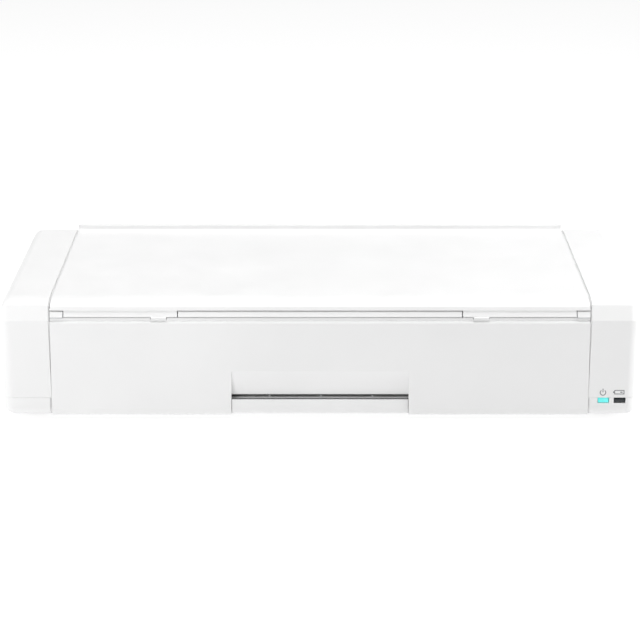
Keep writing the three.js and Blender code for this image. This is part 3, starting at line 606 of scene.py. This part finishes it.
def leaning(x, z):
    """X moved in towards the bottom, as the sides of the casing lean."""
    return x * (1 - SIDE_TAPER * (TOP - z) / (TOP - BASE) / HALF_WIDTH)


def side_section(inward):
    """The side cover's outline seen from the side, moved inwards but for its open bottom."""
    corners = [
        (-HALF_DEPTH, SIDE_BOTTOM),
        (HALF_DEPTH, SIDE_BOTTOM),
        (HALF_DEPTH, TOP),
        *FRONT_ROLL,
        CHAMFER_FOOT,
    ]
    radii = [0, 0, CORNER, 12, 8, 8, 0.8, 1.6]
    moved = inset(corners, inward)
    moved[0] = (moved[0][0], SIDE_BOTTOM)
    moved[1] = (moved[1][0], SIDE_BOTTOM)
    left_over = [max(radius - inward, min(radius, 0.4)) for radius in radii]
    return rounded(moved, left_over)


def side_cover(word):
    """A shell open below and towards the middle, with a ledge for the lid and a pin hole."""

    def placed(part):
        return part if word == "right" else mirrored(part)

    places = stations(SIDE_FROM, HALF_WIDTH, eased(0.3, 2), eased(CORNER, 8))
    rings = [[(leaning(x, z), y, z) for y, z in side_section(inward)] for x, inward in places]
    cavity_outline = [
        (-75.3, 5),
        (75.5, 5),
        (75.5, LID_UNDER),
        (-62, LID_UNDER),
        (-70.5, 55.8),
        (-72.2, 54.8),
        (-75.3, 48.6),
    ]
    cavity = bar_x(cavity_outline, 133, 151, 1, radii=1.2)
    window = box(129, 135, -62, 58, 0, 48.4, CUTTER_EDGE)
    ledge_outline = [(-73.6, 54), (-70, 50), (75, 50), (76.3, 54), (75.8, TOP - 0.9)]
    ledge_outline += [(y + 0.6, z - 0.8) for y, z in FRONT_ROLL]
    ledge = bar_x(ledge_outline, MIDDLE + 0.35, SIDE_FROM + 0.6, 0.1)
    pin_hole = bar_x(circle(*LID_AXIS, 1.8), 130, 135, CUTTER_EDGE)
    shell = make_object(f"{word}_side_shell", placed(loft(rings)))
    carve(shell, [placed(cavity), placed(window)])
    join(shell, placed(ledge))
    carve(shell, [placed(pin_hole)])
    piece(shell, "base", "white_shell", [f"{word}_side_cover"])


def lid():
    """Skin with its ridge and rear skirt; tongues, tabs, side rims and hinge lugs are added."""
    corners = [
        (75.7, 49.2),
        (77.5, 49.2),
        (77.5, RIDGE_TOP - 0.8),
        (76.8, RIDGE_TOP),
        (74.5, RIDGE_TOP),
        (74, TOP),
        *FRONT_ROLL,
        (-74.6, 55.9),
        (-75.4, 54.1),
        (-73.8, 54.1),
        (-72.6, 55.4),
        (-70, 56.1),
        (-66, LID_UNDER),
        (75.7, LID_UNDER),
    ]
    radii = [0.4, 0.4, 0.9, 0.9, 0.5, 0.8, 12, 8, 8, 0.5, 0.6, 0.3, 0.2, 0.6, 1, 1, 0.5]
    tongue = [(-75.1, 54.6), BAND_TOP, BAND_BOTTOM, BAND_BACK, (-73.2, 52.3), (-73.2, 55.2)]
    tab = [(-76.9, 51.1), (-77.1, 50.2), (-76.2, 50.2), (-75.2, 52)]
    lug_radius = 3
    lug = [(71.5, 57), (71.5, 55)]
    for angle in range(190, 351, 20):
        turn = math.radians(angle)
        y = LID_AXIS[0] + lug_radius * math.cos(turn)
        lug.append((y, LID_AXIS[1] + lug_radius * math.sin(turn)))
    lug.append((76.5, 57))
    parts = [bar_x(corners, -MIDDLE, MIDDLE, 0.35, radii)]
    parts += both_sides(bar_x(tongue, 68.8, 123.6, 0.2, 0.3))
    parts += both_sides(bar_x(tab, *TAB, 0.2, 0.15))
    parts += both_sides(box(128.7, MIDDLE, -69, 60, 50.6, 57, 0.3))
    parts += both_sides(bar_x(lug, BAND_END_FROM, MIDDLE, 0.2))
    piece(make_object("lid_skin", whole(parts)), "lid", "white_shell", ["lid_shell"])


def extension():
    """The sliding paper support; its front end is the middle of the band under the lid's lip."""
    plate = [
        BAND_BOTTOM,
        BAND_BACK,
        (-72, 52.2),
        (42, 52.2),
        (42, 54),
        (-72, 54),
        BAND_TOP,
    ]
    ribs = [box(x, x + 1.2, -30, 38, 51.6, 52.4, 0.2) for x in range(-55, 60, 22)]
    parts = [
        bar_x(plate, -SUPPORT_HALF, SUPPORT_HALF, 0.2, [0.3, 0.4, 0.4, 0.4, 0.4, 0.4, 0.3]),
        box(-SUPPORT_HALF, SUPPORT_HALF, -34, 42, 53.5, 55.9),
        box(-SUPPORT_HALF - 3, SUPPORT_HALF + 3, -34, 42, 54.1, 55.9),
        *ribs,
    ]
    made = make_object("paper_support", whole(parts))
    piece(made, "extension", "white_shell", ["support_extension"])


def band_ends():
    """The fixed ends of the band under the lid's lip, and the strips that fill the seams."""
    outline = [BAND_BOTTOM, BAND_BACK, (-71, 52.3), (-71, 53.7), BAND_TOP]
    ends = both_sides(bar_x(inset(outline, -0.06), BAND_END_FROM, MIDDLE - 0.05, 0.15, 0.3))
    piece(make_object("band_ends", whole(ends)), "base", "white_shell")
    strip = [(-76.8, 3.5), (-74, 3.5), (-74, 49), (-72.2, 54), (-73.7, 54.9), (-76.8, 49.4)]
    strips = both_sides(bar_x(strip, MIDDLE + 0.12, SIDE_FROM + 0.1, 0.08))
    piece(make_object("seam_strips", whole(strips)), "base", "white_shell")


def front_door():
    """A plate with a lip, two notches for the lid's tabs, a finger scoop and two hinge pins."""
    front = -HALF_DEPTH
    corners = [
        (-75.5, 2.2),
        (-75.5, DOOR_LIP),
        (-76.3, DOOR_LIP),
        (-76.3, DOOR_TOP),
        (-77.1, DOOR_TOP - 0.3),
        (front, DOOR_TOP - 1.1),
        (front, 5.4),
        (-77.1, 2.9),
        (-76.4, 2),
    ]
    behind = front + 2
    backing = [
        (behind - 0.5, SCOOP_BOTTOM),
        (behind + SCOOP_DEPTH, SCOOP_BOTTOM),
        (behind, SCOOP_TOP),
        (behind - 0.5, SCOOP_TOP),
    ]
    hollow = [
        (-80, 0),
        (-70, 0),
        (-70, SCOOP_BOTTOM),
        (front + SCOOP_DEPTH, SCOOP_BOTTOM),
        (front, SCOOP_TOP),
        (-80, SCOOP_TOP),
    ]
    radii = [0.3, 0.2, 0.2, 0.1, 0.6, 0.8, 2, 0.8, 0.5]
    plate = bar_x(corners, -MIDDLE, MIDDLE, 0.3, radii)
    backing_bar = bar_x(backing, -SCOOP_HALF - 2, SCOOP_HALF + 2, 0.1)
    door = make_object("front_door_panel", whole([plate, backing_bar]))
    left, right = TAB[0] - 0.3, TAB[1] + 0.3
    notch = box(left, right, -79, -76.25, DOOR_TOP - 0.4, 51, CUTTER_EDGE)
    lip_notch = box(left, right, -79, -73, 50, 52, CUTTER_EDGE)
    scoop = bar_x(hollow, -SCOOP_HALF, SCOOP_HALF, CUTTER_EDGE)
    carve(door, [scoop, *both_sides(notch), *both_sides(lip_notch)])
    join(door, *both_sides(box(126, MIDDLE, -76, -73.7, 45.9, 49.2)))
    pin = bar_x(circle(-75.2, 47.8, 0.9, 24), 129, 132.7, 0.15)
    join(door, *both_sides(pin))
    piece(door, "front_door", "white_shell", ["front_cover"], sharp=12)


def arc(x, y, radius, width, start=0, end=360):
    """Outline of a band bent round a centre, from start to end degrees."""
    end = min(end, start + 359.5)
    turns = [math.radians(start + (end - start) * step / 24) for step in range(25)]
    outer = [(x + radius * math.cos(turn), y + radius * math.sin(turn)) for turn in turns]
    thin = radius - width
    inner = [(x + thin * math.cos(turn), y + thin * math.sin(turn)) for turn in turns]
    return outer + inner[::-1]


def oblong(x0, x1, y0, y1):
    """Corners of an upright rectangle."""
    return [(x0, y0), (x1, y0), (x1, y1), (x0, y1)]


def power_sign(x, y, size):
    """Outlines of the common on/off sign: an open ring and an upright stroke."""
    line = 0.27 * size
    ring = arc(x, y, size, line, 125, 415)
    return [ring, oblong(x - line / 2, x + line / 2, y + 0.1 * size, y + 1.3 * size)]


def front_symbols():
    """Printed marks over the two lights: an on/off sign and a battery outline."""
    y0, y1 = -HALF_DEPTH - 0.02, -HALF_DEPTH + 0.1
    left, right, low, high, line = 142.7, 147.6, 12.7, 14.9, 0.4
    battery = [
        oblong(left, right, low, low + line),
        oblong(left, right, high - line, high),
        oblong(left, left + line, low, high),
        oblong(right - line, right, low, high),
        oblong(left - 0.6, left, low + 0.7, high - 0.7),
        oblong(right - 2, right - 0.9, low + 0.8, high - 0.8),
    ]
    signs = {"power_mark": power_sign(137.2, 13.6, 1.55), "battery_mark": battery}
    for name, outlines in signs.items():
        parts = [plate_y(outline, y0, y1, 0.01) for outline in outlines]
        piece(make_object(name, whole(parts)), "base", "dark_plastic", material=PRINT)


def turned(outline, angle, x, y):
    """The outline turned by angle degrees about the origin and moved to a centre."""
    cos, sin = math.cos(math.radians(angle)), math.sin(math.radians(angle))
    return [(x + a * cos - b * sin, y + a * sin + b * cos) for a, b in outline]


def button_marks():
    """Plain signs printed on the buttons: arrows, a ring, a house, a square and a lozenge."""
    arrow = [(-1.3, -0.7), (1.3, -0.7), (0, 1.2)]
    house = [(-1.3, -1.2), (1.3, -1.2), (1.3, 0.2), (0, 1.4), (-1.3, 0.2)]
    square = oblong(-1.3, 1.3, -1.3, 1.3)
    turns = {
        "home": (house, 0),
        "up": (arrow, 0),
        "down": (arrow, 180),
        "left": (arrow, 90),
        "right": (arrow, -90),
        "stop": (square, 0),
        "start": (square, 45),
    }
    for name, centre in BUTTON_CENTRES.items():
        if name == "power":
            outlines = power_sign(*centre, 1.5)
        elif name == "ok":
            outlines = [arc(*centre, 1.8, 0.5)]
        else:
            outlines = [turned(*turns[name], *centre)]
        parts = [plate_z(outline, BUTTON_TOP - 0.1, BUTTON_TOP + 0.03, 0.01) for outline in outlines]
        mark = make_object(f"{name}_mark", whole(parts))
        piece(mark, f"{name}_button_cap", "white_shell", material=PALE_PRINT)


def grown(rectangle, by):
    """The sides of a rectangle moved outwards."""
    x0, x1, y0, y1 = rectangle
    return x0 - by, x1 + by, y0 - by, y1 + by


def deck_trim():
    """Raised trim round the button group, and grip ribs on the ink cover."""
    low, high, width, corner = DECK_TOP - 0.1, DECK_TOP + 0.35, 1, 5
    ring = make_object("deck_trim", plate_z(oblong(*BUTTON_GROUP), low, high, 0.15, corner))
    inside = oblong(*grown(BUTTON_GROUP, -width))
    carve(ring, [plate_z(inside, 45, 55, CUTTER_EDGE, corner - width)])
    piece(ring, "base", "dark_plastic")
    ribs = [box(74.5, 85.5, -59.2 + 2 * step, -58.4 + 2 * step, 49.9, 50.5, 0.2) for step in range(5)]
    piece(make_object("ink_cover_grip", whole(ribs)), "base", "grey_plastic")


def liner_screws():
    """Screws with a cross recess in the liner under the lid."""
    reach, half, depth = 1.3, 0.25, (51, 52.1, CUTTER_EDGE)
    heads = [plate_z(circle(x, y, 2.4, 24), 51.95, 52.3, 0.15) for x, y in LINER_SCREWS]
    screws = make_object("liner_screws", whole(heads))
    crosses = []
    for x, y in LINER_SCREWS:
        crosses.append(box(x - reach, x + reach, y - half, y + half, *depth))
        crosses.append(box(x - half, x + half, y - reach, y + reach, *depth))
    carve(screws, crosses)
    piece(screws, "lid", "steel")


def display_bezel():
    """A raised frame round the display."""
    width = 3.2
    outside = oblong(*grown(DISPLAY_OPENING, width))
    bezel = make_object("display_bezel", plate_z(outside, DECK_TOP - 0.1, DECK_TOP + 0.5, 0.25, 2))
    carve(bezel, [plate_z(oblong(*DISPLAY_OPENING), 45, 55, CUTTER_EDGE, 0.8)])
    piece(bezel, "base", "black_plastic")


def star_wheels():
    """Toothed wheels over the eject roller, on one axle under a bar hung from the deck."""
    y, z = STAR_AXLE
    radius, teeth, thickness = 3.2, 14, 0.4
    root = 0.72 * radius
    outline = []
    for tooth in range(teeth):
        for turn, reach in ((0, radius), (0.35, root), (0.65, root)):
            angle = 2 * math.pi * (tooth + turn) / teeth
            outline.append((y + reach * math.cos(angle), z + reach * math.sin(angle)))
    starts = [x + shift for x in STAR_SPOTS for shift in (-2, 2)]
    wheels = [bar_x(outline, start, start + thickness, 0.03) for start in starts]
    hubs = [bar_x(circle(y, z, 1.5, 20), x - 2.8, x + 3.2, 0.1) for x in STAR_SPOTS]
    axle = bar_x(circle(y, z, 0.5, 16), -113, 101, 0.05)
    piece(make_object("star_wheels", whole([*wheels, axle])), "base", "steel")
    piece(make_object("star_wheel_hubs", whole(hubs)), "base", "black_plastic")
    bar = [(-44, 30.2), (-36.6, 30.2), (-36.6, 31.6), (-38, 32.6), (-42.6, 32.6), (-44, 31.6)]
    holders = [box(x - 4.2, x - 3.2, -42, -38, 24.6, 31, 0.1) for x in STAR_SPOTS]
    holders += [box(x + 3.6, x + 4.6, -42, -38, 24.6, 31, 0.1) for x in STAR_SPOTS]
    hangers = [box(x, x + 6, -42.6, -38, 31.6, 48.1, 0.3) for x in (-112, -3, 94)]
    made = make_object("star_wheel_bar", whole([bar_x(bar, -113, 101, 0.4), *holders, *hangers]))
    piece(made, "base", "black_plastic")


def inner_shelf():
    """A light inner floor behind the slot under the front door, over the circuit board."""
    ribs = [box(x, x + 1, -72, -62, 10, 10.6, 0.15) for x in range(-100, 100, 25)]
    shelf = box(-128, 96, -73, -61, 9.3, 10.1, 0.2)
    piece(make_object("inner_shelf", whole([shelf, *ribs])), "base", "white_shell")


bpy.context.scene.view_settings.view_transform = "Standard"
make_camera()
make_world(horizon=0.12, overhead=0.46)
make_floor(grey=0.3, glow=0.74)
soft_light("over_light", (0, 0.1, 1.5), (1.6, 1.0), power=19.5)
soft_light("left_light", (-0.35, -0.47, 0.12), (0.25, 0.2), power=0.75)
soft_light("left_rim_light", (-0.6, -0.05, 0.2), (0.3, 0.3), power=0.5)
soft_light("right_rim_light", (0.6, -0.12, 0.25), (0.3, 0.3), power=1.7)

side_cover("left")
side_cover("right")
lid()
extension()
band_ends()
front_door()
front_symbols()
inner_shelf()
button_marks()
display_bezel()
deck_trim()
liner_screws()
star_wheels()

NODE_SLOTS = {
    "white_shell": ["lower_case", "rear_cover", "maintenance_cover"],
    "grey_plastic": ["lid_liner", "control_deck", "cartridge_cover", "feeder_chute"],
    "dark_plastic": [
        "edge_guide_left",
        "edge_guide_right",
        "hopper_plate",
        "cap_station",
        "maintenance_box",
        "battery_pack",
        "colour_cartridge",
    ],
    "black_plastic": ["platen", "carriage_body", "black_cartridge", "display_panel"],
    "steel": [
        "main_frame",
        "main_roller",
        "lid_hinge_pin_left",
        "lid_hinge_pin_right",
        "maintenance_screw",
        "feed_motor",
        "carriage_motor",
    ],
    "rubber": [
        "rubber_foot_front_left",
        "rubber_foot_front_right",
        "rubber_foot_rear_left",
        "rubber_foot_rear_right",
        "feed_roller",
        "eject_roller",
        "pinch_roller_left",
        "pinch_roller_right",
        "timing_belt",
    ],
    "gear_plastic": [
        "main_gear",
        "motor_pinion",
        "idler_gear",
        "guide_pinion",
        "drive_pulley",
        "idler_pulley",
    ],
    "display_glass": ["display_window"],
    "lit_light_pipe": ["status_light_pipe"],
    "dark_light_pipe": ["battery_light_pipe"],
    "friction_pad": ["separation_pad"],
    "clear_film": ["encoder_strip"],
    "circuit_board": ["main_board"],
    "red_plastic": ["stop_button"],
    "green_plastic": ["start_button"],
}
DARK_BUTTONS = ["power", "home", "up", "down", "left", "right", "ok"]
for slot, names in NODE_SLOTS.items():
    for name in names:
        finish_node(name, slot, 0.1 if slot in ("gear_plastic", "clear_film") else 0.25)
for name in DARK_BUTTONS:
    finish_node(f"{name}_button", "dark_plastic", 0.15)
